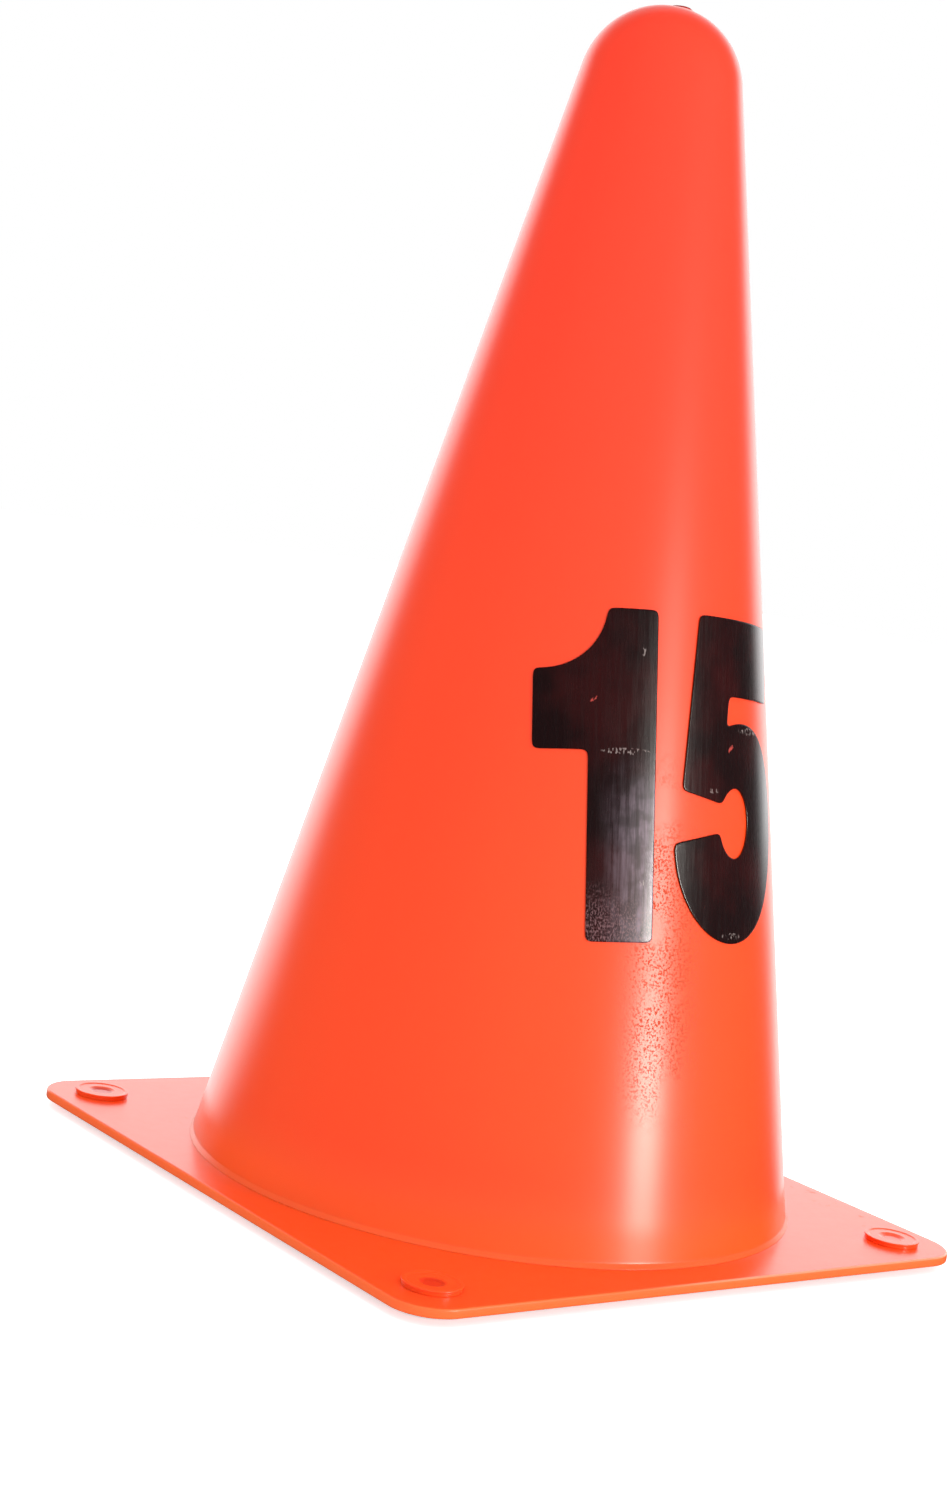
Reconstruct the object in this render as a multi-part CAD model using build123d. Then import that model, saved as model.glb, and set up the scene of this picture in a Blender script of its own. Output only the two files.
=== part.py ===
from build123d import *

import os
from math import acos, atan2, cos, hypot, radians, sin, sqrt, tan

# Numbered sports marker cone: a hollow moulded cone that snaps up through a square base plate, four
# corner feet staked through the plate, and a two-digit number printed on the wall.
# Millimetres, +Z up. The origin is the middle of the footprint, on the ground, and the number faces -Y.

# Cone shell
crown_height = 228.35  # ground to the crown of the rounded tip
cone_base_diameter = 117.4  # outside of the wall where it leaves the plate
tip_radius = 15.6  # outside of the rounded tip
wall_thickness = 1.2
inner_crown_angle = 62.0  # degrees up the inside of the tip to the flat end of the hollow
gate_diameter = 7.0  # root of the trimmed moulding gate, inside the tip
gate_top_diameter = 3.6
gate_height = 0.25  # above the crown
gate_root = 1.0  # below the crown
gate_offset = 1.5  # gate's axis beside the cone's axis
gate_bearing = -37.7  # degrees from +X to the gate's axis

# Snap seat of the shell in the plate
flange_width = 4.5  # reach of the flange outside the wall, under the plate
flange_ground_gap = 0.4  # flange to the ground
bead_reach = 0.45  # ridge that locks on top of the plate, out from the wall
bead_lock_height = 0.25  # its steep lower side
bead_lead_height = 0.6  # its gentle upper side
seat_clearance = 0.1  # wall to the rim of the plate's opening
bead_clearance = 0.05  # bead to the top of the plate

# Base plate
plate_margin = 7.5  # narrowest width between the wall and the plate's edge
plate_thickness = 1.8
plate_corner_radius = 8.5
plate_edge_chamfer = 0.3  # round the top

# Corner feet: a pad below, a shank through the plate and a staked head with a dimple on top
foot_inset = 10.2  # foot's axis to the plate's edges
pad_diameter = 13.0
pad_height = 1.5
shank_diameter = 5.2
shank_clearance = 0.1
head_rim_width = 2.7  # round the dimple
dimple_diameter = 5.2
dimple_depth = 0.7
dimple_floor = 0.3  # left under the dimple

# Number, as it is drawn on the unrolled wall
number_height = 59.2
number_rise = 56.1  # plate to the foot of the digits, straight up
number_shift = -3.2  # middle of the number, sideways of the front line
digit_gap = 4.2
digit_corner_radius = 0.7
film_thickness = 0.25
film_bond = 0.05  # bond line between the film and the wall

# Digit one: a stem with a hooked flag
one_stem_width = 12.7
one_top_width = 9.4
one_flag_reach = 9.9  # flag's tip to the stem
one_flag_depth = 14.5
one_hook_rise = 10.9  # flag's tip to the top of the stem
one_hook_sag = 3.7

# Digit five: a bar, a leaning stem and a tilted oval bowl round an oval counter
five_width = 32.7
five_stroke = 12.6  # bowl's stroke beside the counter
five_bar_depth = 14.2
five_bar_start = 4.7  # left end of the bar, from the bowl's left side
five_bar_setback = 2.6  # right end of the bar, from the bowl's right side
five_stem_width = 9.7
five_stem_lean = 5.6  # degrees
bowl_tilt = 10.0  # degrees, its top towards the right
five_notch_height = 4.7  # bar to the top of the bowl
counter_width = 9.1
counter_height = 13.0
counter_rise = 15.4  # foot of the bowl to the counter
mouth_rise = 0.8  # middle of the mouth above the middle of the counter
mouth_outer_height = 9.9
mouth_inner_height = 3.4

# Levels and radii that follow from the sizes above
plate_bottom = pad_height
plate_top = plate_bottom + plate_thickness
cone_base_radius = cone_base_diameter / 2
plate_side = 2 * (cone_base_radius + plate_margin)
foot_pitch = plate_side - 2 * foot_inset
tip_centre = crown_height - tip_radius
tip_rise = tip_centre - plate_top
half_angle = acos(tip_radius / hypot(cone_base_radius, tip_rise)) - atan2(tip_rise, cone_base_radius)
apex_height = plate_top + cone_base_radius / tan(half_angle)  # where the straight wall would meet the axis
one_width = one_flag_reach + one_stem_width
number_width = one_width + digit_gap + five_width


def wall_radius(height, offset=0.0):
    """Radius at a height of the cone that lies offset outside the wall's outer face."""
    return (apex_height - height) * tan(half_angle) + offset / cos(half_angle)


def turned(outline):
    """Solid of revolution of a closed outline drawn as radius and height."""
    return revolve(Plane.XZ * make_face(outline), Axis.Z)


def make_cone_shell():
    """Hollow cone with a rounded tip and its gate, a flange at its foot and the bead that snaps over the plate."""
    flange_bottom = flange_ground_gap
    flange_radius = wall_radius(plate_top) + flange_width
    bead_bottom = plate_top + bead_clearance
    bead_crest = bead_bottom + bead_lock_height
    bead_top = bead_crest + bead_lead_height
    inner_tip_radius = tip_radius - wall_thickness

    def on_tip(radius, angle):
        return radius * cos(angle), tip_centre + radius * sin(angle)

    inner_foot = (wall_radius(flange_bottom, -wall_thickness), flange_bottom)
    inner_crown = on_tip(inner_tip_radius, radians(inner_crown_angle))

    flange_bead_and_wall = Polyline(
        inner_foot,
        (flange_radius, flange_bottom),
        (flange_radius, plate_bottom),
        (wall_radius(plate_bottom), plate_bottom),
        (wall_radius(bead_bottom), bead_bottom),
        (wall_radius(bead_crest, bead_reach), bead_crest),
        (wall_radius(bead_top), bead_top),
        on_tip(tip_radius, half_angle),
    )
    outer_tip = ThreePointArc(
        on_tip(tip_radius, half_angle),
        on_tip(tip_radius, half_angle / 2 + radians(45)),
        (0, crown_height),
    )
    inside = Polyline(
        (0, crown_height),
        (0, inner_crown[1]),
        inner_crown,
        on_tip(inner_tip_radius, half_angle),
        inner_foot,
    )
    gate = Cone(
        gate_diameter / 2,
        gate_top_diameter / 2,
        gate_root + gate_height,
        align=(Align.CENTER, Align.CENTER, Align.MIN),
    )
    bearing = radians(gate_bearing)
    gate_place = Pos(gate_offset * cos(bearing), gate_offset * sin(bearing), crown_height - gate_root)
    return turned([*flange_bead_and_wall.edges(), outer_tip, *inside.edges()]) + gate_place * gate


def make_base_plate():
    """Square plate with rounded corners, a tapered opening for the cone and a hole for each foot."""
    outline = RectangleRounded(plate_side, plate_side, plate_corner_radius)
    plate = extrude(Pos(Z=plate_bottom) * outline, plate_thickness)
    upper_rim = plate.edges().group_by(Axis.Z)[-1]
    plate = chamfer(upper_rim, plate_edge_chamfer)
    opening = Cone(
        wall_radius(plate_bottom) + seat_clearance,
        wall_radius(plate_top) + seat_clearance,
        plate_thickness,
        align=(Align.CENTER, Align.CENTER, Align.MIN),
    )
    foot_hole = Cylinder(
        shank_diameter / 2 + shank_clearance,
        plate_thickness,
        align=(Align.CENTER, Align.CENTER, Align.MIN),
    )
    plate -= Pos(Z=plate_bottom) * opening
    plate -= Pos(Z=plate_bottom) * GridLocations(foot_pitch, foot_pitch, 2, 2) * foot_hole
    return plate


def make_foot():
    """One corner foot on the Z axis: the pad carries the plate, and the head is staked over it."""
    pad_radius = pad_diameter / 2
    shank_radius = shank_diameter / 2
    dimple_radius = dimple_diameter / 2
    head_radius = dimple_radius + head_rim_width
    dimple_level = plate_top + dimple_floor
    head_top = dimple_level + dimple_depth
    return turned(
        Polyline(
            (0, 0),
            (pad_radius, 0),
            (pad_radius, plate_bottom),
            (shank_radius, plate_bottom),
            (shank_radius, plate_top),
            (head_radius, plate_top),
            (head_radius, head_top),
            (dimple_radius, head_top),
            (dimple_radius, dimple_level),
            (0, dimple_level),
            close=True,
        ).edges()
    )


def draw_one():
    """Flat one, from the tip of its flag to the right of its stem, standing on y = 0."""
    flag_top = number_height - one_hook_rise
    flag_bottom = flag_top - one_flag_depth
    stem_top_left = (one_width - one_top_width, number_height)
    hook = SagittaArc(stem_top_left, (0, flag_top), one_hook_sag)
    sides = Polyline(
        (0, flag_top),
        (0, flag_bottom),
        (one_flag_reach, flag_bottom),
        (one_flag_reach, 0),
        (one_width, 0),
        (one_width, number_height),
        stem_top_left,
    )
    one = make_face([hook, *sides.edges()])
    return fillet(one.vertices(), digit_corner_radius)


def tilted_oval(half_width, half_height):
    """Flat oval that leans by the bowl's tilt and still fills a box of the half width and half height."""
    tilt = radians(bowl_tilt)
    across = (half_width * cos(tilt)) ** 2 - (half_height * sin(tilt)) ** 2
    along = (half_height * cos(tilt)) ** 2 - (half_width * sin(tilt)) ** 2
    oval = Ellipse(sqrt(across / cos(2 * tilt)), sqrt(along / cos(2 * tilt)))
    return Rot(Z=-bowl_tilt) * oval


def draw_five():
    """Flat five, from the left of its bowl to the right of it, standing on y = 0."""
    bar_bottom = number_height - five_bar_depth
    bowl_height = bar_bottom - five_notch_height
    bowl_middle = bowl_height / 2
    bar_end = five_width - five_bar_setback
    lean = tan(radians(five_stem_lean))
    stem_at_bar = five_bar_start - five_bar_depth * lean
    stem_at_bowl = five_bar_start - (number_height - bowl_middle) * lean
    bar_and_stem = Polygon(
        (five_bar_start, number_height),
        (stem_at_bowl, bowl_middle),
        (stem_at_bowl + five_stem_width, bowl_middle),
        (stem_at_bar + five_stem_width, bar_bottom),
        (bar_end, bar_bottom),
        (bar_end, number_height),
        align=None,
    )
    bar_and_stem = fillet(bar_and_stem.vertices().group_by(Axis.Y)[-1], digit_corner_radius)
    bowl = Pos(five_width / 2, bowl_middle) * tilted_oval(five_width / 2, bowl_middle)
    counter_x = five_width - five_stroke - counter_width / 2
    counter_y = counter_rise + counter_height / 2
    counter = Pos(counter_x, counter_y) * Ellipse(counter_width / 2, counter_height / 2)
    mouth_y = counter_y + mouth_rise
    mouth_flare = (mouth_outer_height - mouth_inner_height) / counter_x
    mouth_left = -five_stem_width  # well clear of the leaning stem's foot
    mouth_left_height = mouth_outer_height - mouth_left * mouth_flare
    mouth = Polygon(
        (mouth_left, mouth_y + mouth_left_height / 2),
        (mouth_left, mouth_y - mouth_left_height / 2),
        (counter_x, mouth_y - mouth_inner_height / 2),
        (counter_x, mouth_y + mouth_inner_height / 2),
        align=None,
    )
    return bar_and_stem + bowl - counter - mouth


def artwork_plane(sideways, up):
    """Plane that touches the wall at a point of the unrolled number, square to the number."""
    number_foot = plate_top + number_rise
    to_apex = wall_radius(number_foot) / sin(half_angle) - up
    slant = hypot(sideways, to_apex)
    turn = atan2(sideways, to_apex)
    azimuth = turn / sin(half_angle)
    radius = slant * sin(half_angle)
    height = apex_height - slant * cos(half_angle)
    outward = Vector(sin(azimuth) * cos(half_angle), -cos(azimuth) * cos(half_angle), sin(half_angle))
    around = Vector(cos(azimuth), sin(azimuth), 0)
    across = around * cos(turn) - outward.cross(around) * sin(turn)
    return Plane((radius * sin(azimuth), -radius * cos(azimuth), height), x_dir=across, z_dir=outward)


def print_digit(drawing, width, left):
    """Film of one digit: its flat drawing pressed onto the wall and cut to the film's thickness."""
    film_inside = film_bond
    film_outside = film_bond + film_thickness
    film = turned(
        Polyline(
            (wall_radius(plate_top, film_inside), plate_top),
            (wall_radius(plate_top, film_outside), plate_top),
            (wall_radius(tip_centre, film_outside), tip_centre),
            (wall_radius(tip_centre, film_inside), tip_centre),
            close=True,
        ).edges()
    )
    middle = artwork_plane(left + width / 2, number_height / 2)
    centred = Pos(-width / 2, -number_height / 2) * drawing
    return extrude(middle * centred, amount=width / 2, both=True) & film


number_left = number_shift - number_width / 2
five_left = number_left + one_width + digit_gap
foot_offset = foot_pitch / 2
foot = make_foot()

nodes = {
    "cone_shell": make_cone_shell(),
    "base_plate": make_base_plate(),
    "foot_front_left": Pos(-foot_offset, -foot_offset) * foot,
    "foot_front_right": Pos(foot_offset, -foot_offset) * foot,
    "foot_back_right": Pos(foot_offset, foot_offset) * foot,
    "foot_back_left": Pos(-foot_offset, foot_offset) * foot,
    "digit_1": print_digit(draw_one(), one_width, number_left),
    "digit_5": print_digit(draw_five(), five_width, five_left),
}

os.makedirs("parts", exist_ok=True)
for name, solid in nodes.items():
    export_step(solid, f"parts/{name}.step")
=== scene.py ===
from math import acos, asin, atan2, cos, hypot, pi, radians, sin, tan

import bmesh
import bpy
from bpy.props import FloatProperty, FloatVectorProperty, IntProperty, PointerProperty
from mathutils import Matrix, Vector
from mathutils.geometry import delaunay_2d_cdt


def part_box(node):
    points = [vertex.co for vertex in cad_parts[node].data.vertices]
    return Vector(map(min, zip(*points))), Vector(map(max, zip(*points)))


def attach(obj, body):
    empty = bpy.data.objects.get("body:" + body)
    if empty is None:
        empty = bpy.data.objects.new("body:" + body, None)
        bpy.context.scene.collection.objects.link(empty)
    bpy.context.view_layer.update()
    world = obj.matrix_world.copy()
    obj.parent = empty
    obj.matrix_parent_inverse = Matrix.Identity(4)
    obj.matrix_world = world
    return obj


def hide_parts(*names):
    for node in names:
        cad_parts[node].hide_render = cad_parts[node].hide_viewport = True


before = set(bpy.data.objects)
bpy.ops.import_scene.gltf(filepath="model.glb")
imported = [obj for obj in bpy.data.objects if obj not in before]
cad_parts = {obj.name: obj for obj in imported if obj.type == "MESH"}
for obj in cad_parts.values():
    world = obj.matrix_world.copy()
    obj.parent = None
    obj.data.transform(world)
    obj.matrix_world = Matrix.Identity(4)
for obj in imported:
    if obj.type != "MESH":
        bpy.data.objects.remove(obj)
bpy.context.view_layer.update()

bl_info = {
    "name": "Numbered Marker Cone",
    "version": (1, 0, 0),
    "blender": (4, 5, 0),
    "location": "View3D > Sidebar > Marker Cone",
    "description": "Makes the visible pieces of a numbered sports marker cone on its CAD frame",
    "category": "Add Mesh",
}

MM = 0.001
SHELL_LOW, SHELL_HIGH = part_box("cone_shell")
PLATE_LOW, PLATE_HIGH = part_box("base_plate")
FOOT_LOW, FOOT_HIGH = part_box("foot_front_right")
FEET = ("foot_front_left", "foot_front_right", "foot_back_right", "foot_back_left")
GATE_RISE = 0.25 * MM
GATE_REACH = 6.0 * MM  # radius on the tip that gets fine rings for the gate
INNER_CROWN_ANGLE = radians(62)  # up the inside of the tip to the flat end of the hollow
AXIS_RADIUS = 1.0 * MM  # small circle that profiles are turned on
WALL_STEPS, TIP_STEPS, CROWN_STEPS = 64, 18, 44
FOOT_STEPS = 64
CORNER_STEPS, OPENING_STEPS, HOLE_STEPS = 14, 180, 40
SHARP_ANGLE = radians(35)


# Settings that the panel shows


def length(name, description, default):
    """A size in metres, with its name and description in the panel."""
    return FloatProperty(name=name, description=description, default=default, min=0.0, unit="LENGTH", precision=4)


def colour(name, description, default):
    """A colour, with its name and description in the panel."""
    return FloatVectorProperty(
        name=name, description=description, default=default, size=3, min=0.0, max=1.0, subtype="COLOR"
    )


class ShellSettings(bpy.types.PropertyGroup):
    crown_height: length("Crown Height", "Ground to the crown of the tip", SHELL_HIGH.z - GATE_RISE)
    foot_radius: length("Foot Radius", "Outside of the wall at the top of the plate", 58.7 * MM)
    tip_radius: length("Tip Radius", "Outside of the rounded tip", 15.6 * MM)
    wall_thickness: length("Wall", "Thickness of the wall", 1.2 * MM)
    flange_radius: length("Flange Radius", "Outside of the flange under the plate", SHELL_HIGH.x)
    flange_bottom: length("Flange Bottom", "Ground to the flange", SHELL_LOW.z)
    bead_reach: length("Bead Reach", "How far the bead stands out of the wall", 0.4 * MM)
    bead_height: length("Bead Height", "Height of the bead over the plate", 0.9 * MM)
    gate_radius: length("Gate Radius", "Flat top of the trimmed gate", 1.8 * MM)
    gate_offset: length("Gate Offset", "Gate's axis beside the cone's axis", 1.5 * MM)
    gate_bearing: FloatProperty(
        name="Gate Bearing", description="Turn from +X to the gate's axis", default=radians(-37.7), subtype="ANGLE"
    )
    steps_around: IntProperty(name="Steps Around", description="Faces round the shell", default=192, min=24)
    tint: colour("Foot Colour", "Colour of the cone's plastic at its foot", (1.0, 0.062, 0.003))
    tip_tint: colour("Tip Colour", "Colour of the cone's plastic at its tip", (1.0, 0.042, 0.0105))


class PlateSettings(bpy.types.PropertyGroup):
    side: length("Side", "Side of the square plate", PLATE_HIGH.x - PLATE_LOW.x)
    bottom: length("Bottom", "Ground to the underside", PLATE_LOW.z)
    top: length("Top", "Ground to the top", PLATE_HIGH.z)
    corner_radius: length("Corner Radius", "Rounding of the four corners", 8.5 * MM)
    edge_radius: length("Edge Radius", "Rounding of the outer rims", 0.4 * MM)
    hole_edge_radius: length("Hole Edge Radius", "Rounding of the opening and the holes", 0.1 * MM)
    seat_clearance: length("Seat Clearance", "Opening to the cone's wall", 0.1 * MM)
    tint: colour("Colour", "Colour of the plate and feet", (1.0, 0.076, 0.009))


class FeetSettings(bpy.types.PropertyGroup):
    pitch: length("Pitch", "Distance between the feet", FOOT_HIGH.x + FOOT_LOW.x)
    pad_radius: length("Pad Radius", "Outside of the pad on the ground", (FOOT_HIGH.x - FOOT_LOW.x) / 2)
    shank_radius: length("Shank Radius", "Shank through the plate", 2.6 * MM)
    shank_clearance: length("Shank Clearance", "Shank to its hole", 0.1 * MM)
    head_radius: length("Head Radius", "Outside of the staked head", 5.3 * MM)
    head_top: length("Head Top", "Ground to the top of the head", FOOT_HIGH.z)
    lip: length("Lip", "How far the head's lip stands out over its side", 0.15 * MM)
    rim_width: length("Rim Width", "Flat rim of the head", 0.6 * MM)
    dish_depth: length("Dish Depth", "Sunk ring inside the rim", 0.14 * MM)
    dimple_radius: length("Dimple Radius", "Upper edge of the dimple", 2.6 * MM)
    dimple_floor_radius: length("Dimple Floor", "Floor of the dimple", 1.5 * MM)
    dimple_depth: length("Dimple Depth", "Top of the head to the dimple's floor", 0.5 * MM)


class NumberSettings(bpy.types.PropertyGroup):
    height: length("Height", "Height of the digits on the unrolled wall", 59.2 * MM)
    rise: length("Rise", "Plate to the foot of the digits", 56.1 * MM)
    left: FloatProperty(
        name="Left", description="Left end of the number from the front line", default=-32.95 * MM, unit="LENGTH"
    )
    gap: length("Gap", "Space between the digits", 4.2 * MM)
    thickness: length("Thickness", "Thickness of the film", 0.25 * MM)
    bond: length("Bond", "Bond line under the film", 0.05 * MM)
    edge_radius: length("Edge Radius", "Rounding of the film's edge", 0.2 * MM)
    softness: length("Softness", "Spacing of the points that round the corners", 0.25 * MM)
    tint: colour("Colour", "Colour of the film", (0.0115, 0.0011, 0.0014))


class StageSettings(bpy.types.PropertyGroup):
    floor_side: length("Floor", "Side of the pale floor", 8.0)
    floor_tint: colour("Floor Colour", "Colour of the floor", (0.86, 0.86, 0.86))
    ambient: FloatProperty(name="Ambient", description="Even light from all round", default=1.3, min=0.0)
    softbox_power: FloatProperty(name="Softbox", description="Softbox in watts", default=3.65, min=0.0)


class MarkerConeSettings(bpy.types.PropertyGroup):
    shell: PointerProperty(name="Shell", description="Sizes of the cone shell", type=ShellSettings)
    plate: PointerProperty(name="Plate", description="Sizes of the base plate", type=PlateSettings)
    feet: PointerProperty(name="Feet", description="Sizes of the corner feet", type=FeetSettings)
    number: PointerProperty(name="Number", description="Sizes of the digits", type=NumberSettings)
    stage: PointerProperty(name="Stage", description="Floor and light", type=StageSettings)


# Nodes as Python arithmetic


class Wire:
    """One output of a node. Arithmetic on wires adds Math nodes to their tree."""

    def __init__(self, socket):
        self.socket = socket

    def __getitem__(self, output):
        return Wire(self.socket.node.outputs[output])

    @classmethod
    def add(cls, tree, kind, settings=None, inputs=None, output=0):
        """Adds one node, its settings first and then its sockets, and gives one of its outputs."""
        node = tree.nodes.new(kind)
        for name, value in (settings or {}).items():
            setattr(node, name, value)
        for name, value in (inputs or {}).items():
            if isinstance(value, Wire):
                tree.links.new(value.socket, node.inputs[name])
            else:
                node.inputs[name].default_value = value
        return cls(node.outputs[output]) if len(node.outputs) else None

    def node(self, kind, settings=None, inputs=None, output=0):
        """Adds a node to this wire's own tree."""
        return Wire.add(self.socket.id_data, kind, settings, inputs, output)

    def maths(self, operation, first, second=0.0):
        return self.node("ShaderNodeMath", {"operation": operation}, {0: first, 1: second})

    def __add__(self, other):
        return self.maths("ADD", self, other)

    def __radd__(self, other):
        return self.maths("ADD", other, self)

    def __sub__(self, other):
        return self.maths("SUBTRACT", self, other)

    def __rsub__(self, other):
        return self.maths("SUBTRACT", other, self)

    def __mul__(self, other):
        return self.maths("MULTIPLY", self, other)

    def __rmul__(self, other):
        return self.maths("MULTIPLY", other, self)

    def __truediv__(self, other):
        return self.maths("DIVIDE", self, other)

    def sine(self):
        return self.maths("SINE", self)

    def cosine(self):
        return self.maths("COSINE", self)

    def root(self):
        return self.maths("SQRT", self)

    def fade(self, low, high):
        """Zero up to low, one from high, and smooth between."""
        return self.node(
            "ShaderNodeMapRange", {"interpolation_type": "SMOOTHSTEP"}, {0: self, 1: low, 2: high, 3: 0.0, 4: 1.0}
        )

    def stretched(self, scale):
        """This vector times a scale for each axis."""
        return self.node("ShaderNodeVectorMath", {"operation": "MULTIPLY"}, {0: self, 1: scale})

    def noise(self, scale, detail=2.0, roughness=0.5):
        """Noise read at this vector."""
        return self.node(
            "ShaderNodeTexNoise", None, {"Vector": self, "Scale": scale, "Detail": detail, "Roughness": roughness}
        )

    def blend(self, first, second):
        """The first colour where this mask is zero and the second where it is one."""
        return self.node("ShaderNodeMix", {"data_type": "RGBA"}, {0: self, 6: first, 7: second}, output=2)


# Finishes


# On the unrolled number: where nicks are, and the middles and half sizes of patches of ticks.
NICKS = ((-22.4 * MM, 42.6 * MM), (7.6 * MM, 35.5 * MM))
TICKS = (
    (-16.0 * MM, 33.7 * MM, 4.6 * MM, 0.6 * MM),
    (-13.1 * MM, 51.9 * MM, 0.4 * MM, 1.1 * MM),
    (-12.6 * MM, 10.5 * MM, 0.6 * MM, 0.7 * MM),
    (14.0 * MM, 39.0 * MM, 4.0 * MM, 0.7 * MM),
    (8.8 * MM, 1.4 * MM, 2.8 * MM, 0.6 * MM),
    (3.0 * MM, 27.6 * MM, 1.3 * MM, 0.5 * MM),
)


def opaque(rgb):
    """A colour with full alpha."""
    return (*rgb, 1.0)


def shade(rgb, red, green, blue):
    """A colour with each channel multiplied."""
    return opaque(min(channel * factor, 1.0) for channel, factor in zip(rgb, (red, green, blue)))


def new_finish(name):
    """An empty material, with its tree and the place on the object."""
    material = bpy.data.materials.new(name)
    material.use_nodes = True
    tree = material.node_tree
    tree.nodes.clear()
    return material, tree, Wire.add(tree, "ShaderNodeTexCoord", output="Object")


def end_finish(tree, inputs, painted_gate_shade=None):
    """Ends a finish. Where the mask of painted shade is set, the gloss goes and plain matt colour stays."""
    shader = Wire.add(tree, "ShaderNodeBsdfPrincipled", None, inputs)
    if painted_gate_shade is not None:
        matt = Wire.add(tree, "ShaderNodeBsdfDiffuse", None, {"Color": inputs["Base Color"]})
        shader = Wire.add(tree, "ShaderNodeMixShader", None, {0: painted_gate_shade, 1: shader, 2: matt})
    Wire.add(tree, "ShaderNodeOutputMaterial", None, {"Surface": shader})


def moulded_plastic(name, tint, shell=None, plate=None, feet=None):
    """Soft polyethylene with slight colour flow, fine grain and scuffs.

    The shell adds worn specks, two less glossy bands, painted light on its foot against the plate's shade, faint
    rings and painted shade on the raised gate. The plate adds a side face painted paler for light shining through
    it and a painted highlight along its front right top edge, and the feet painted shade in their dimples.
    """
    material, tree, place = new_finish(name)
    axes = place.node("ShaderNodeSeparateXYZ", None, {0: place})
    x, y, z = axes["X"], axes["Y"], axes["Z"]
    flow = place.stretched((1.0, 1.0, 0.4)).noise(14.0, 3.0).fade(0.35, 0.65)
    grain = place.noise(1400.0, 2.0)
    pits = place.noise(420.0, 3.0, 0.6)
    patches = place.noise(22.0, 2.0).fade(0.56, 0.7)
    streaks = place.stretched((1.0, 1.0, 0.3)).noise(380.0, 6.0, 0.7).fade(0.58, 0.7)
    scuffs, rubbed = patches * streaks, 0.0
    height = 0.35 * grain + 0.4 * pits
    painted_gate_shade = None
    if shell is None:
        paint = flow.blend(shade(tint, 0.98, 0.95, 0.95), shade(tint, 1.0, 1.05, 1.05))
        aside, beyond = x.maths("ABSOLUTE", x), y.maths("ABSOLUTE", y)
        inner = plate.side / 2 - plate.corner_radius
        past_x = x.maths("MAXIMUM", aside - inner, 0.0)
        past_y = y.maths("MAXIMUM", beyond - inner, 0.0)
        rim = (past_x * past_x + past_y * past_y).root() - plate.corner_radius
        # Painted glow: the plate's side face and outer rounding are painted paler and yellower in place of light
        # shining through the edge.
        paint = (rim.fade(-0.35 * MM, -0.05 * MM) * 0.9).blend(paint, shade(tint, 1.0, 1.95, 3.0))
        # Painted highlight: a pale line along the upper rounding of the plate's front right top edge.
        upper = rim.fade(-0.5 * MM, -0.35 * MM) * z.fade(plate.top - 0.3 * MM, plate.top - 0.15 * MM)
        painted_edge_highlight = upper * x.fade(-25 * MM, 10 * MM) * (1.0 - y.fade(-62 * MM, -50 * MM))
        paint = (painted_edge_highlight * 0.8).blend(paint, shade(tint, 1.0, 4.0, 20.0))
        from_x, from_y = aside - feet.pitch / 2, beyond - feet.pitch / 2
        from_foot = (from_x * from_x + from_y * from_y).root()
        # Painted shade: the feet's dimples are painted darker, strongly on the feet at -X and weakly on those at
        # +X.
        sunk = 1.0 - z.fade(feet.head_top - 0.4 * MM, feet.head_top - 0.16 * MM)
        painted_dimple_shade = sunk * (1.0 - from_foot.fade(feet.dimple_radius - 0.5 * MM, feet.dimple_radius))
        paint = (painted_dimple_shade * (0.9 - 0.6 * x.fade(-10 * MM, 10 * MM))).blend(paint, shade(tint, 0.65, 0.3, 0.5))
    else:
        up = z.fade(15 * MM, 200 * MM)
        deep = up.blend(shade(tint, 0.98, 0.95, 0.95), shade(shell.tip_tint, 0.98, 0.95, 0.95))
        pale = up.blend(shade(tint, 1.0, 1.05, 1.05), shade(shell.tip_tint, 1.0, 1.05, 1.05))
        paint = flow.blend(deep, pale)
        # Painted light: the lowest part of the wall is painted paler, against the shade that the plate puts on it.
        low = 1.0 - z.fade(2 * MM, 18 * MM)
        paint = (low * 0.9).blend(paint, shade(tint, 1.0, 1.65, 3.0))
        front = 1.0 - y.fade(-15 * MM, -8 * MM)
        beside = x.fade(-19 * MM, -11 * MM) * (1.0 - x.fade(-3 * MM, 3 * MM))
        worn = front * beside * z.fade(24 * MM, 36 * MM) * (1.0 - z.fade(70 * MM, 100 * MM))
        clusters = place.noise(90.0, 2.0).fade(0.33, 0.5)
        speckle = worn * clusters * place.noise(2400.0, 3.0, 0.6).fade(0.51, 0.58)
        above_seam = z.fade(4.2 * MM, 4.8 * MM) * (1.0 - z.fade(7.0 * MM, 12.0 * MM))
        rubbed = front * beside * z.fade(34 * MM, 58 * MM) * (1.0 - z.fade(100 * MM, 125 * MM)) + 1.3 * above_seam
        rings = (z * (2 * pi / (1.7 * MM)) + 4.0 * place.noise(18.0)).sine()
        height = height + 0.3 * rings * z.fade(14 * MM, 22 * MM) * (1.0 - z.fade(30 * MM, 50 * MM))
        height = height - 4.0 * speckle
        paint = (speckle * 0.8).blend(paint, shade(tint, 0.32, 0.55, 5.0))
        scuffs = 0.5 * scuffs + 1.3 * speckle
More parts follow.
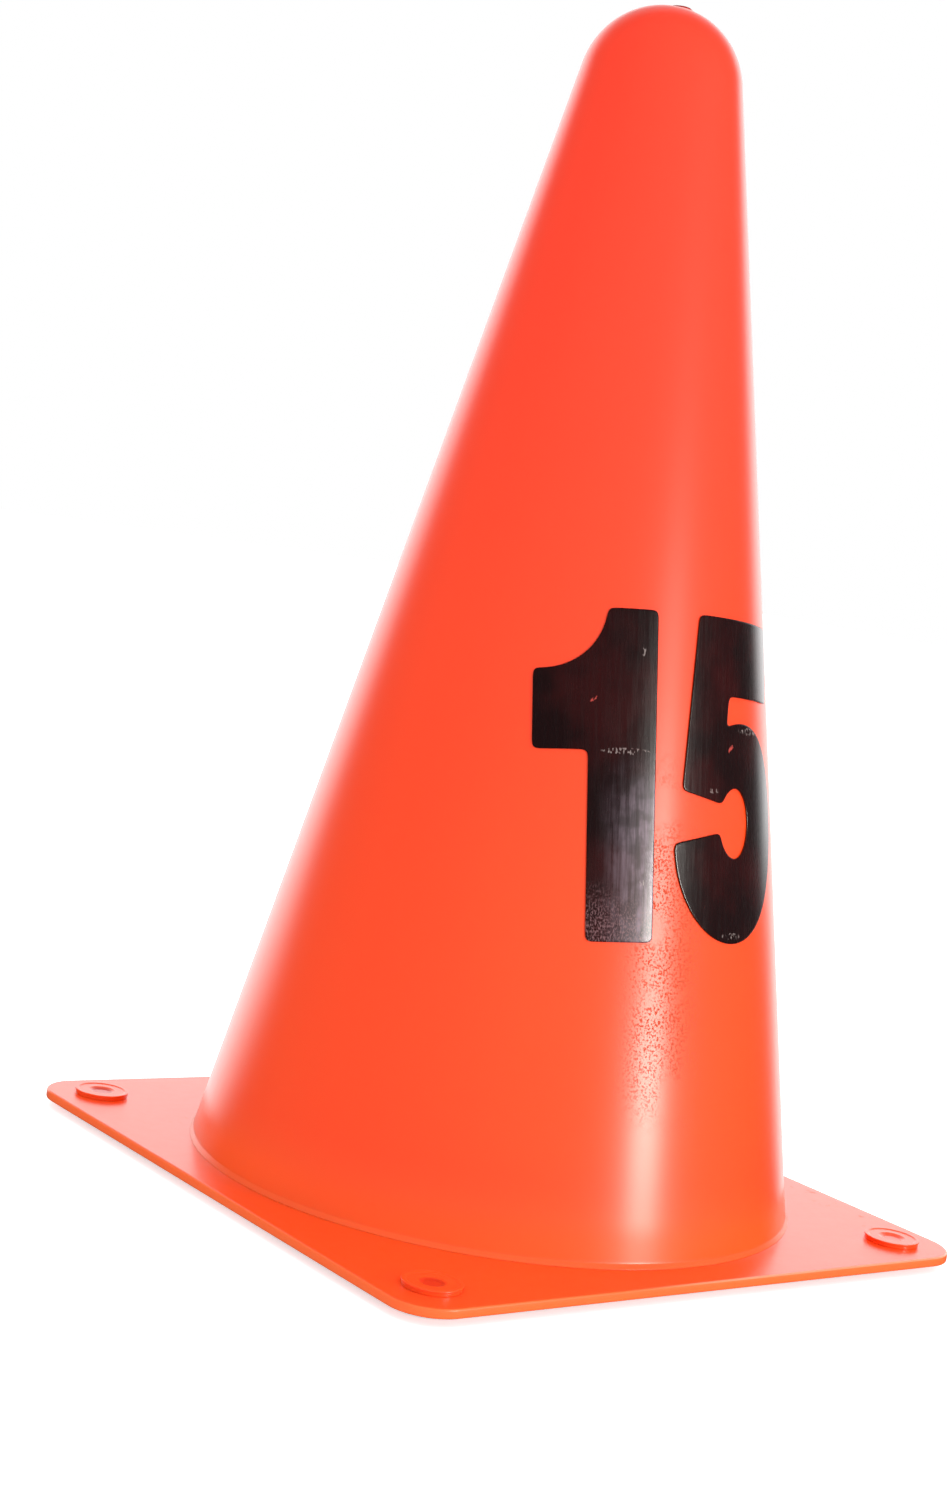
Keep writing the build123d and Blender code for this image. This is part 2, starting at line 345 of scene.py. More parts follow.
        # Painted shade: the top of the raised gate is painted dark red and made matt.
        gate_x = x - shell.gate_offset * cos(shell.gate_bearing)
        gate_y = y - shell.gate_offset * sin(shell.gate_bearing)
        gate = 1.0 - (gate_x * gate_x + gate_y * gate_y).root().fade(3.1 * MM, 3.6 * MM)
        painted_gate_shade = gate * z.fade(shell.crown_height - 0.3 * MM, shell.crown_height - 0.12 * MM)
        paint = painted_gate_shade.blend(paint, shade(tint, 0.28, 0.4, 6.0))
    paint = (scuffs * 0.12).blend(paint, shade(tint, 1.0, 2.2, 5.0))
    bump = place.node(
        "ShaderNodeBump", None, {"Strength": 0.12, "Distance": 0.05 * MM, "Height": height - 0.6 * scuffs}
    )
    end_finish(
        tree,
        {
            "Base Color": paint,
            "Roughness": 0.33 + 0.06 * pits + 0.2 * scuffs,
            "Normal": bump,
            "IOR": 1.34,
            "Coat Weight": place.maths("MAXIMUM", 0.88 - 0.55 * scuffs - 0.38 * rubbed, 0.0),
            "Coat Roughness": 0.25,
            "Coat IOR": 1.5,
            "Subsurface Weight": 0.15,
            "Subsurface Radius": (1.0, 0.28, 0.1),
            "Subsurface Scale": 2.0 * MM,
        },
        painted_gate_shade,
    )
    return material


def printed_film(name, tint, under):
    """Glossy black film with a warm tint and brushed scratches.

    The stem of the one carries a grey veil, partly scuff haze and partly painted sheen that grows towards its
    right edge, and is hazy towards its foot. Pale ticks lie on both digits, and nicks show the plastic.
    """
    material, tree, place = new_finish(name)
    flat = Wire.add(tree, "ShaderNodeAttribute", {"attribute_name": "artwork"}, output="Vector")
    axes = flat.node("ShaderNodeSeparateXYZ", None, {0: flat})
    aside, up = axes["X"], axes["Y"]
    ragged = 1.5 * flat.noise(1300.0, 3.0, 0.7).fade(0.35, 0.65)
    nick = None
    for nick_x, nick_y in NICKS:
        along = (aside - nick_x) + (up - nick_y)
        across = (up - nick_y) - (aside - nick_x)
        spread = (along / (1.4 * MM)) * (along / (1.4 * MM)) + (across / (0.5 * MM)) * (across / (0.5 * MM))
        mark = 1.0 - (spread + ragged).fade(1.1, 1.7)
        nick = mark if nick is None else nick + mark
    cloud = flat.noise(60.0, 3.0)
    brush = flat.stretched((1.0, 0.05, 1.0)).noise(1700.0, 4.0, 0.7).fade(0.3, 0.7)
    fine = flat.stretched((1.0, 0.55, 1.0)).noise(3600.0, 3.0)
    # Partly scuff haze and partly painted sheen: a grey veil on the lower stem of the one that grows towards its
    # right edge.
    stem = aside.fade(-22 * MM, -8 * MM) * (1.0 - aside.fade(-9 * MM, -8 * MM))
    haze_and_painted_sheen = stem * (1.0 - (up + 10 * MM * cloud).fade(22 * MM, 40 * MM))
    haze = (1.0 - aside.fade(-9 * MM, -8 * MM)) * (1.0 - (up + 14 * MM * cloud).fade(10 * MM, 20 * MM))
    tick = None
    for tick_x, tick_y, half_x, half_y in TICKS:
        from_x, from_y = (aside - tick_x) / half_x, (up - tick_y) / half_y
        patch = 1.0 - (from_x * from_x + from_y * from_y).fade(0.7, 1.2)
        tick = patch if tick is None else tick + patch
    tick = tick * flat.stretched((1.0, 0.5, 1.0)).noise(2600.0, 1.0).fade(0.55, 0.63)
    paint = cloud.fade(0.4, 0.62).blend(shade(tint, 0.8, 0.75, 0.8), shade(tint, 2.4, 1.1, 1.1))
    veil_and_painted_sheen = haze_and_painted_sheen * (0.2 + 0.8 * brush) * (0.4 + 0.6 * flat.noise(260.0, 3.0).fade(0.4, 0.6))
    paint = veil_and_painted_sheen.blend(paint, opaque((0.3, 0.205, 0.265)))
    paint = (haze * fine.fade(0.45, 0.65) * 0.7).blend(paint, opaque((0.22, 0.11, 0.12)))
    paint = (tick * 0.38).blend(paint, opaque((0.5, 0.4, 0.38)))
    paint = (nick * 0.8).blend(paint, shade(under, 0.5, 0.5, 6.0))
    rough = 0.17 + 0.1 * brush + 0.06 * cloud + 0.3 * nick + 0.22 * haze_and_painted_sheen
    bump = place.node(
        "ShaderNodeBump",
        None,
        {"Strength": 0.16, "Distance": 0.03 * MM, "Height": 0.8 * brush + 0.5 * fine + haze * fine - 2.0 * nick},
    )
    end_finish(
        tree,
        {
            "Base Color": paint,
            "Roughness": rough,
            "Normal": bump,
            "IOR": 1.5,
            "Coat Weight": 0.76 - 0.5 * nick,
            "Coat Roughness": 0.15,
            "Coat IOR": 1.5,
        },
    )
    return material


BACKDROP = (0.565, 0.807, 0.174)  # towards the middle of the white backdrop
FLOOR_MIDDLE = (0.423, 0.906, 0.0)  # towards the middle of the lit floor
# For gloss the floor is lit in two fans from beside the cone's foot: the start of each, and the cosines at which
# its light begins and is full.
FLOOR_FANS = (((39 * MM, -43 * MM, 0.0), 0.54, 0.83), ((-49 * MM, 32 * MM, 0.0), 0.6, 0.95))
BRIGHT_SIDE = (0.8, -0.6, 0.0)  # the lighter side of the room


def backdrop_level(direction, middle, low, high):
    """What gloss sees in a direction: white behind the object, and a dim room elsewhere."""
    facing = direction.node(
        "ShaderNodeVectorMath", {"operation": "DOT_PRODUCT"}, {0: direction, 1: middle}, output="Value"
    )
    height = direction.node("ShaderNodeSeparateXYZ", None, {0: direction})["Z"]
    return 0.04 + 1.45 * facing.fade(low, high) * (1.0 - 0.75 * height.fade(0.3, 0.65))


def pale_floor(name, tint):
    """White studio floor that keeps its shadow. Gloss sees it lit only behind the object."""
    material, tree, place = new_finish(name)
    rays = Wire.add(tree, "ShaderNodeLightPath")
    diffuse = Wire.add(tree, "ShaderNodeBsdfDiffuse", None, {"Color": opaque(tint)})
    glow = Wire.add(tree, "ShaderNodeEmission", None, {"Strength": rays["Is Camera Ray"] * 0.6})
    both = Wire.add(tree, "ShaderNodeAddShader", None, {0: diffuse, 1: glow})
    levels = []
    for start, low, high in FLOOR_FANS:
        course = place.node("ShaderNodeVectorMath", {"operation": "SUBTRACT"}, {0: place, 1: start})
        towards = place.node("ShaderNodeVectorMath", {"operation": "NORMALIZE"}, {0: course})
        levels.append(backdrop_level(towards, FLOOR_MIDDLE, low, high))
    lit = Wire.add(tree, "ShaderNodeEmission", None, {"Strength": place.maths("MAXIMUM", *levels)})
    floor = Wire.add(tree, "ShaderNodeMixShader", None, {0: rays["Is Glossy Ray"], 1: both, 2: lit})
    Wire.add(tree, "ShaderNodeOutputMaterial", None, {"Surface": floor})
    return material


# Outlines


def arc(centre, radius, start, end, steps):
    """Points on an arc, both ends among them."""
    angles = [start + (end - start) * step / steps for step in range(steps + 1)]
    return [(centre[0] + radius * cos(angle), centre[1] + radius * sin(angle)) for angle in angles]


def between(start, end, steps):
    """Points inside a straight run, without its ends."""
    shares = [step / steps for step in range(1, steps)]
    return [(start[0] + (end[0] - start[0]) * s, start[1] + (end[1] - start[1]) * s) for s in shares]


def rounded_run(corners, steps=5):
    """Points along corners of (x, y, radius), with a close point beside each arc so that the flats stay flat."""
    points = [corners[0][:2]]
    for before, (x, y, radius), after in zip(corners, corners[1:], corners[2:]):
        here = Vector((x, y))
        back = (Vector(before[:2]) - here).normalized()
        on = (Vector(after[:2]) - here).normalized()
        half = acos(max(-1.0, min(1.0, back.dot(on)))) / 2
        reach = radius / tan(half)
        middle = here + (back + on).normalized() * (radius / sin(half))
        first = here + back * reach - middle
        last = here + on * reach - middle
        start = atan2(first.y, first.x)
        sweep = (atan2(last.y, last.x) - start + pi) % (2 * pi) - pi
        points.append(tuple(here + back * (reach + 0.4 * radius)))
        points += arc(middle, radius, start, start + sweep, steps)
        points.append(tuple(here + on * (reach + 0.4 * radius)))
    points.append(corners[-1][:2])
    return points


class Wall:
    """The straight outer wall, as the cone that it lies on."""

    def __init__(self, shell, plate):
        self.tip_centre = shell.crown_height - shell.tip_radius
        rise = self.tip_centre - plate.top
        slope = hypot(shell.foot_radius, rise)
        self.half_angle = acos(shell.tip_radius / slope) - atan2(rise, shell.foot_radius)
        self.apex = plate.top + shell.foot_radius / tan(self.half_angle)

    def radius(self, height, offset=0.0):
        """Radius at a height of the cone that lies offset outside the wall."""
        return (self.apex - height) * tan(self.half_angle) + offset / cos(self.half_angle)


def shell_profile(shell, plate, wall):
    """Half section of the shell: down the inside, round the flange and the bead, and up to the crown."""
    half, centre = wall.half_angle, (0.0, wall.tip_centre)
    thick = shell.wall_thickness
    inner_radius = shell.tip_radius - thick
    (inner_x, inner_top), (shoulder_x, shoulder) = arc(centre, inner_radius, INNER_CROWN_ANGLE, half, 1)
    low = shell.flange_bottom
    inside_and_flange = rounded_run(
        [
            (0.0, inner_top, 0.0),
            (inner_x, inner_top, 1.5 * MM),
            (shoulder_x, shoulder, 3.0 * MM),
            (wall.radius(low, -thick), low, 0.2 * MM),
            (shell.flange_radius, low, 0.25 * MM),
            (shell.flange_radius, plate.bottom, 0.15 * MM),
            (wall.radius(plate.bottom), plate.bottom, 0.1 * MM),
            (wall.radius(plate.top), plate.top, 0.0),
        ]
    )
    seat = plate.top + 0.02 * MM
    crest = seat + 0.06 * MM
    lead = seat + shell.bead_height
    bead = rounded_run(
        [
            (wall.radius(seat), seat, 0.0),
            (wall.radius(seat, shell.bead_reach), seat, 0.02 * MM),
            (wall.radius(crest, shell.bead_reach), crest, 0.02 * MM),
            (wall.radius(lead), lead, 0.5 * MM),
            (wall.radius(lead + 2 * MM), lead + 2 * MM, 0.0),
        ]
    )
    gate_angle = acos(GATE_REACH / shell.tip_radius)
    outer_tip = arc(centre, shell.tip_radius, half, gate_angle, TIP_STEPS)
    crown = arc(centre, shell.tip_radius, gate_angle, pi / 2, CROWN_STEPS)
    outside = between(bead[-1], outer_tip[0], WALL_STEPS)
    return inside_and_flange + bead + outside + outer_tip + crown[1:]


def raise_gate(mesh, shell):
    """Lifts the crown's points to a low stub beside the axis."""
    top = shell.crown_height + GATE_RISE - 0.01 * MM
    x = shell.gate_offset * cos(shell.gate_bearing)
    y = shell.gate_offset * sin(shell.gate_bearing)
    for vert in mesh.vertices:
        dome = vert.co.z
        if dome > shell.crown_height - 1.0 * MM:
            beyond = hypot(vert.co.x - x, vert.co.y - y) - shell.gate_radius
            flank = top - 0.36 * (beyond + hypot(beyond, 0.15 * MM))
            vert.co.z = (dome + flank + hypot(dome - flank, 0.06 * MM)) / 2


def foot_profile(feet, plate):
    """Half section of a foot: pad, shank, and the staked head with its dish and dimple."""
    top = feet.head_top
    dish = top - feet.dish_depth
    floor = top - feet.dimple_depth
    side = feet.head_radius - feet.lip
    rim = feet.head_radius - feet.rim_width
    return rounded_run(
        [
            (0.0, 0.0, 0.0),
            (feet.pad_radius, 0.0, 0.4 * MM),
            (feet.pad_radius, plate.bottom, 0.15 * MM),
            (feet.shank_radius, plate.bottom, 0.1 * MM),
            (feet.shank_radius, plate.top, 0.1 * MM),
            (side, plate.top, 0.1 * MM),
            (side, top - 0.4 * MM, 0.05 * MM),
            (feet.head_radius, top - 0.3 * MM, 0.06 * MM),
            (feet.head_radius, top, 0.14 * MM),
            (rim, top, 0.15 * MM),
            (rim - 0.4 * MM, dish, 0.15 * MM),
            (feet.dimple_radius, dish, 0.15 * MM),
            (feet.dimple_floor_radius, floor, 0.25 * MM),
            (0.0, floor, 0.0),
        ]
    )


def oval(centre_x, centre_y, width, height, tilt=0.0, steps=160):
    """Points on an oval that fills a box of the width and height, and leans to the right by its tilt."""
    wide = ((width * cos(tilt)) ** 2 - (height * sin(tilt)) ** 2) / cos(2 * tilt)
    tall = ((height * cos(tilt)) ** 2 - (width * sin(tilt)) ** 2) / cos(2 * tilt)
    points = []
    for step in range(steps):
        turn = 2 * pi * step / steps
        x, y = wide**0.5 / 2 * cos(turn), tall**0.5 / 2 * sin(turn)
        points.append((centre_x + x * cos(tilt) + y * sin(tilt), centre_y - x * sin(tilt) + y * cos(tilt)))
    return points


ONE_WIDTH = 22.6 * MM
ONE_STEM_WIDTH = 12.7 * MM
ONE_TOP_WIDTH = 9.4 * MM
ONE_HOOK_RISE = 10.9 * MM
ONE_HOOK_SAG = 3.7 * MM
ONE_FLAG_FOOT = 25.4 * MM  # below the top
FIVE_WIDTH = 32.7 * MM
FIVE_BAR_DEPTH = 14.2 * MM
FIVE_BAR_START = 4.7 * MM
FIVE_BAR_SETBACK = 2.6 * MM
FIVE_NOTCH_HEIGHT = 4.7 * MM
FIVE_STEM_WIDTH = 9.7 * MM
FIVE_STEM_LEAN = radians(5.6)
FIVE_STROKE = 12.6 * MM
BOWL_TILT = radians(10)
COUNTER_WIDTH, COUNTER_HEIGHT = 9.1 * MM, 13.0 * MM
COUNTER_RISE = 15.4 * MM
MOUTH_RISE = 0.8 * MM  # middle of the mouth over the counter's
MOUTH_INNER, MOUTH_OUTER = 1.7 * MM, 4.95 * MM  # half heights at the counter and at the bowl's left side
FILM_STEP_X, FILM_STEP_Y = 1.2 * MM, 2.0 * MM  # inner points of a film, so that it bends
FILM_MARGIN = 0.7 * MM  # inner points to the film's edge


def one_shapes(height):
    """The digit one as one closed shape: a stem with a hooked flag."""
    stem = ONE_WIDTH - ONE_STEM_WIDTH
    top_left = Vector((ONE_WIDTH - ONE_TOP_WIDTH, height))
    tip = Vector((0.0, height - ONE_HOOK_RISE))
    sag = ONE_HOOK_SAG
    chord = tip - top_left
    bow = chord.length / 2
    radius = (bow**2 + sag**2) / (2 * sag)
    aside = Vector((-chord.y, chord.x)).normalized()
    middle = (top_left + tip) / 2 - aside * (radius - sag)
    start = atan2(top_left.y - middle.y, top_left.x - middle.x)
    sweep = -2 * asin(bow / radius)
    hook = arc(middle, radius, start, start + sweep, 24)
    foot_of_flag = height - ONE_FLAG_FOOT
    corners = [(0.0, foot_of_flag), (stem, foot_of_flag), (stem, 0.0), (ONE_WIDTH, 0.0), (ONE_WIDTH, height)]
    return [hook + corners], []


def five_shapes(height):
    """The digit five: a bar and leaning stem with an oval bowl, and the counter and mouth cut out of them."""
    bar_bottom = height - FIVE_BAR_DEPTH
    bowl_middle = (bar_bottom - FIVE_NOTCH_HEIGHT) / 2
    lean = tan(FIVE_STEM_LEAN)
    start = FIVE_BAR_START
    end = FIVE_WIDTH - FIVE_BAR_SETBACK
    at_bar = start - (height - bar_bottom) * lean
    at_bowl = start - (height - bowl_middle) * lean
    bar_and_stem = [
        (start, height),
        (at_bowl, bowl_middle),
        (at_bowl + FIVE_STEM_WIDTH, bowl_middle),
        (at_bar + FIVE_STEM_WIDTH, bar_bottom),
        (end, bar_bottom),
        (end, height),
    ]
    bowl = oval(FIVE_WIDTH / 2, bowl_middle, FIVE_WIDTH, 2 * bowl_middle, BOWL_TILT, 240)
    counter_x = FIVE_WIDTH - FIVE_STROKE - COUNTER_WIDTH / 2
    counter_y = COUNTER_RISE + COUNTER_HEIGHT / 2
    counter = oval(counter_x, counter_y, COUNTER_WIDTH, COUNTER_HEIGHT)
    mouth_y = counter_y + MOUTH_RISE
    inner, outer = MOUTH_INNER, MOUTH_OUTER
    outside = outer + FIVE_STEM_WIDTH * (outer - inner) / counter_x
    mouth = [
        (-FIVE_STEM_WIDTH, mouth_y + outside),
        (-FIVE_STEM_WIDTH, mouth_y - outside),
        (counter_x, mouth_y - inner),
        (counter_x, mouth_y + inner),
    ]
    return [bar_and_stem, bowl], [counter, mouth]


# Flat plates and films with rounded edges


def triangles_of(shapes, extra, kept):
    """Points of overlapping shapes, the triangles that the test keeps, and each point's origin."""
    points, faces = [], []
    for shape in shapes:
        face = list(range(len(points), len(points) + len(shape)))
        area = sum(a[0] * b[1] - a[1] * b[0] for a, b in zip(shape, shape[1:] + shape[:1]))
        faces.append(face if area > 0 else face[::-1])
        points += [Vector(point) for point in shape]
    points += [Vector(point) for point in extra]
    found, _, cells, origins, _, inside = delaunay_2d_cdt(points, [], faces, 0, 1e-8)
    return found, [cell for cell, held in zip(cells, inside) if kept(set(held))], origins


def outline_of(joined, cut):
    """Loops round the area that the joined shapes cover and the cut shapes don't, with the area on their left."""
    first_cut = len(joined)

    def kept(held):
        return bool(held) and max(held) < first_cut

    points, cells, _ = triangles_of(joined + cut, [], kept)
    sides = {(a, b) for cell in cells for a, b in zip(cell, cell[1:] + cell[:1])}
    follow = {a: b for a, b in sides if (b, a) not in sides}
    loops = []
    while follow:
        start, point = follow.popitem()
        loop = [points[start]]
        while point != start:
            loop.append(points[point])
            point = follow.pop(point)
        loops.append(loop)
    return loops


def softened(loop, spacing, passes=22):
    """The loop with even points, and its corners rounded a little."""
    lengths = [(b - a).length for a, b in zip(loop, loop[1:] + loop[:1])]
    count = round(sum(lengths) / spacing)
    step = sum(lengths) / count
    even, walked, side = [], 0.0, 0
    for index in range(count):
        while walked + lengths[side] < index * step:
            walked += lengths[side]
            side += 1
        share = (index * step - walked) / lengths[side]
        even.append(loop[side].lerp(loop[(side + 1) % len(loop)], share))
    for _ in range(passes):
        even = [(a + 2 * b + c) / 4 for a, b, c in zip(even[-1:] + even, even, even[1:] + even[:1])]
    return even


def inset(loop, distance):
    """The loop moved to its left."""
    moved = []
    for before, here, after in zip(loop[-1:] + loop, loop, loop[1:] + loop[:1]):
        into, out = (here - before).normalized(), (after - here).normalized()
        aside = Vector((-into.y - out.y, into.x + out.x)).normalized()
        moved.append(here + aside * (distance / max(0.5, aside.dot(Vector((-out.y, out.x))))))
    return moved


def grid_inside(loops, step_x, step_y, margin):
    """Grid points inside the first loop and outside the others, clear of all of them."""
    outer = loops[0]
    xs, ys = [p.x for p in outer], [p.y for p in outer]
    points = []
    for column in range(int((max(xs) - min(xs)) / step_x)):
        for row in range(int((max(ys) - min(ys)) / step_y)):
            point = Vector((min(xs) + (column + 0.5) * step_x, min(ys) + (row + 0.5) * step_y))
            if all((point - other).length > margin for loop in loops for other in loop):
                points.append(point)
    return points


def rounded_slab(name, loops, bottom, top, edges, grid=()):
    """A closed slab with an edge radius for each loop. The first loop is its outside, the others are holes."""
    sheet = bmesh.new()
    turns = [pi / 2 * step / 4 for step in range(5)]
    section = [(1.4, bottom, 0.0)]
    section += [(1 - sin(turn), bottom, 1 - cos(turn)) for turn in turns]
    section += [(1 - cos(turn), top, sin(turn) - 1) for turn in turns]
    section.append((1.4, top, 0.0))
    rings = []
    for into, level, rise in section:
        ring = []
        for loop, edge in zip(loops, edges):
            ring.append([sheet.verts.new((*point, level + rise * edge)) for point in inset(loop, into * edge)])
        rings.append(ring)
    for lower, upper in zip(rings, rings[1:]):
        for low, high in zip(lower, upper):
            for a, b, c, d in zip(low, low[1:] + low[:1], high[1:] + high[:1], high):
                sheet.faces.new((a, b, c, d))
    for ring, height, flip in ((rings[0], bottom, True), (rings[-1], top, False)):
        flat = [[vert.co.xy for vert in loop] for loop in ring]
        verts = [vert for loop in ring for vert in loop] + [sheet.verts.new((*point, height)) for point in grid]
        _, cells, origins = triangles_of(flat, grid, lambda held: held == {0})
        for cell in cells:
            corners = [verts[origins[point][0]] for point in cell]
            sheet.faces.new(corners[::-1] if flip else corners)
    mesh = bpy.data.meshes.new(name)
    sheet.to_mesh(mesh)
    sheet.free()
    return mesh


# Pieces


def new_piece(name, mesh):
    """A new object in the scene."""
    piece = bpy.data.objects.new(name, mesh)
    bpy.context.scene.collection.objects.link(piece)
    return piece


def profile_mesh(name, profile, axis_radius):
    """A profile as a line of edges, set out from the small circle that it is turned on."""
    mesh = bpy.data.meshes.new(name)
    points = [(radius - axis_radius, -height, 0.0) for radius, height in profile]
    mesh.from_pydata(points, [(index, index + 1) for index in range(len(points) - 1)], [])
    return mesh


def new_tree(name, inputs):
    """A geometry tree with named inputs. Gives the tree, its input wires and the inputs' identifiers."""
    tree = bpy.data.node_groups.new(name, "GeometryNodeTree")
    tree.interface.new_socket("Geometry", in_out="INPUT", socket_type="NodeSocketGeometry")
    identifiers = {}
    for label, kind in inputs.items():
        identifiers[label] = tree.interface.new_socket(label, in_out="INPUT", socket_type=kind).identifier
    tree.interface.new_socket("Geometry", in_out="OUTPUT", socket_type="NodeSocketGeometry")
    return tree, Wire.add(tree, "NodeGroupInput"), identifiers


def end_tree(tree, geometry, finish):
    """Realises the result and gives it its material."""
    real = Wire.add(tree, "GeometryNodeRealizeInstances", None, {"Geometry": geometry})
    done = Wire.add(tree, "GeometryNodeSetMaterial", None, {"Geometry": real, "Material": finish})
    Wire.add(tree, "NodeGroupOutput", None, {0: done})


def turned_tree(on_grid):
    """Geometry nodes that turn a profile round the upright axis, and set copies on a square where asked."""
    sizes = {"Axis Radius": "NodeSocketFloat", "Steps Around": "NodeSocketInt", "Finish": "NodeSocketMaterial"}
    if on_grid:
        sizes["Pitch"] = "NodeSocketFloat"
    tree, given, identifiers = new_tree("turned_feet" if on_grid else "turned_shell", sizes)
    profile = Wire.add(tree, "GeometryNodeMeshToCurve", None, {"Mesh": given["Geometry"]})
    circle = Wire.add(
        tree,
        "GeometryNodeCurvePrimitiveCircle",
        {"mode": "RADIUS"},
        {"Resolution": given["Steps Around"], "Radius": given["Axis Radius"]},
    )
    skin = Wire.add(tree, "GeometryNodeCurveToMesh", None, {"Curve": circle, "Profile Curve": profile})
    solid = Wire.add(tree, "GeometryNodeMergeByDistance", None, {"Geometry": skin, "Distance": 1e-6})
    if on_grid:
        corners = Wire.add(
            tree,
            "GeometryNodeMeshGrid",
            None,
            {"Size X": given["Pitch"], "Size Y": given["Pitch"], "Vertices X": 2, "Vertices Y": 2},
        )
        solid = Wire.add(tree, "GeometryNodeInstanceOnPoints", None, {"Points": corners, "Instance": solid})
    end_tree(tree, solid, given["Finish"])
    return tree, identifiers


def wrapping_tree():
    """Geometry nodes that lay a flat film on the conical wall, and keep its flat place as an attribute."""
    sizes = {
        "Apex Height": "NodeSocketFloat",
        "Half Angle": "NodeSocketFloat",
        "Foot Slant": "NodeSocketFloat",
        "Finish": "NodeSocketMaterial",
    }
    tree, given, identifiers = new_tree("film_on_wall", sizes)
    place = Wire.add(tree, "GeometryNodeInputPosition")
    kept = Wire.add(
        tree,
        "GeometryNodeStoreNamedAttribute",
        {"data_type": "FLOAT_VECTOR", "domain": "POINT"},
        {"Geometry": given["Geometry"], "Name": "artwork", "Value": place},
    )
    flat = Wire.add(tree, "ShaderNodeSeparateXYZ", None, {0: place})
    aside, up, out = flat["X"], flat["Y"], flat["Z"]
    sine, cosine = given["Half Angle"].sine(), given["Half Angle"].cosine()
    to_apex = given["Foot Slant"] - up
    slant = (aside * aside + to_apex * to_apex).root()
    around = aside.maths("ARCTAN2", aside, to_apex) / sine
    reach = slant * sine + out * cosine
    wrapped = Wire.add(
        tree,
        "ShaderNodeCombineXYZ",
        None,
        {
            "X": reach * around.sine(),
            "Y": 0.0 - reach * around.cosine(),
            "Z": given["Apex Height"] - slant * cosine + out * sine,
        },
    )
    laid = Wire.add(tree, "GeometryNodeSetPosition", None, {"Geometry": kept, "Position": wrapped})
    end_tree(tree, laid, given["Finish"])
    return tree, identifiers


def grown(piece, tree, identifiers, values):
    """Runs a geometry tree on a piece and keeps the result as its plain mesh, closed and facing outwards."""
    modifier = piece.modifiers.new(tree.name, "NODES")
    modifier.node_group = tree
    for label, value in values.items():
        modifier[identifiers[label]] = value
    graph = bpy.context.evaluated_depsgraph_get()
    source = piece.data
    mesh = bpy.data.meshes.new_from_object(
        piece.evaluated_get(graph), preserve_all_data_layers=True, depsgraph=graph
    )
    piece.modifiers.clear()
    piece.data = mesh
    mesh.name = piece.name
    bpy.data.meshes.remove(source)
    finish_mesh(mesh)


def finish_mesh(mesh):
    """Merges doubles, turns the faces outwards and smooths all but the sharp edges."""
    shape = bmesh.new()
    shape.from_mesh(mesh)
    bmesh.ops.remove_doubles(shape, verts=shape.verts, dist=1e-7)
    bmesh.ops.recalc_face_normals(shape, faces=shape.faces)
    open_edges = sum(not edge.is_manifold for edge in shape.edges)
    if open_edges:
        raise RuntimeError(f"{mesh.name} has {open_edges} open edges")
    shape.to_mesh(mesh)
    shape.free()
    mesh.shade_smooth()
    mesh.set_sharp_from_angle(angle=SHARP_ANGLE)


def hand_over(piece, slot, *nodes):
    """Lets a finished piece stand for its CAD nodes."""
    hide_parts(*nodes)
    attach(piece, "root")


class MARKER_OT_cone_shell(bpy.types.Operator):
    """Make the hollow cone with its rounded tip, flange, bead and gate"""

    bl_idname = "marker.cone_shell"
    bl_label = "Cone Shell"

    def execute(self, context):
        settings = context.scene.marker_cone
        shell, plate = settings.shell, settings.plate
        profile = shell_profile(shell, plate, Wall(shell, plate))
        piece = new_piece("marker_cone_shell", profile_mesh("cone_profile", profile, AXIS_RADIUS))
        tree, identifiers = turned_tree(False)
        finish = moulded_plastic("cone_plastic", shell.tint, shell)
        grown(
            piece,
            tree,
            identifiers,
            {"Axis Radius": AXIS_RADIUS, "Steps Around": shell.steps_around, "Finish": finish},
        )
        raise_gate(piece.data, shell)
        hand_over(piece, "cone_plastic", "cone_shell")
        return {"FINISHED"}


class MARKER_OT_base_plate(bpy.types.Operator):
    """Make the square plate with its rounded rims, its opening and the holes for the feet"""

    bl_idname = "marker.base_plate"
    bl_label = "Base Plate"

    def execute(self, context):
        settings = context.scene.marker_cone
        plate, feet = settings.plate, settings.feet
        wall = Wall(settings.shell, plate)
        near = plate.side / 2 - plate.corner_radius
        outside = []
        for turn, (x, y) in enumerate(((near, near), (-near, near), (-near, -near), (near, -near))):
            outside += arc((x, y), plate.corner_radius, turn * pi / 2, (turn + 1) * pi / 2, CORNER_STEPS)
        opening_radius = wall.radius(plate.top) + plate.seat_clearance
        opening = arc((0.0, 0.0), opening_radius, 2 * pi, 2 * pi / OPENING_STEPS, OPENING_STEPS - 1)
        loops = [outside, opening]
        hole_radius = feet.shank_radius + feet.shank_clearance
        for x in (-feet.pitch / 2, feet.pitch / 2):
            for y in (-feet.pitch / 2, feet.pitch / 2):
                loops.append(arc((x, y), hole_radius, 2 * pi, 2 * pi / HOLE_STEPS, HOLE_STEPS - 1))
        loops = [[Vector(point) for point in loop] for loop in loops]
        edges = [plate.edge_radius] + [plate.hole_edge_radius] * 5
        mesh = rounded_slab("marker_base_plate", loops, plate.bottom, plate.top, edges)
        for vert in mesh.vertices:
            reach = hypot(vert.co.x, vert.co.y)
            if reach < opening_radius + 1.0 * MM:
                wider = 1.0 + (plate.top - vert.co.z) * tan(wall.half_angle) / reach
                vert.co.x *= wider
                vert.co.y *= wider
        mesh.materials.append(moulded_plastic("base_plastic", plate.tint, plate=plate, feet=feet))
        finish_mesh(mesh)
        hand_over(new_piece("marker_base_plate", mesh), "base_plastic", "base_plate")
        return {"FINISHED"}


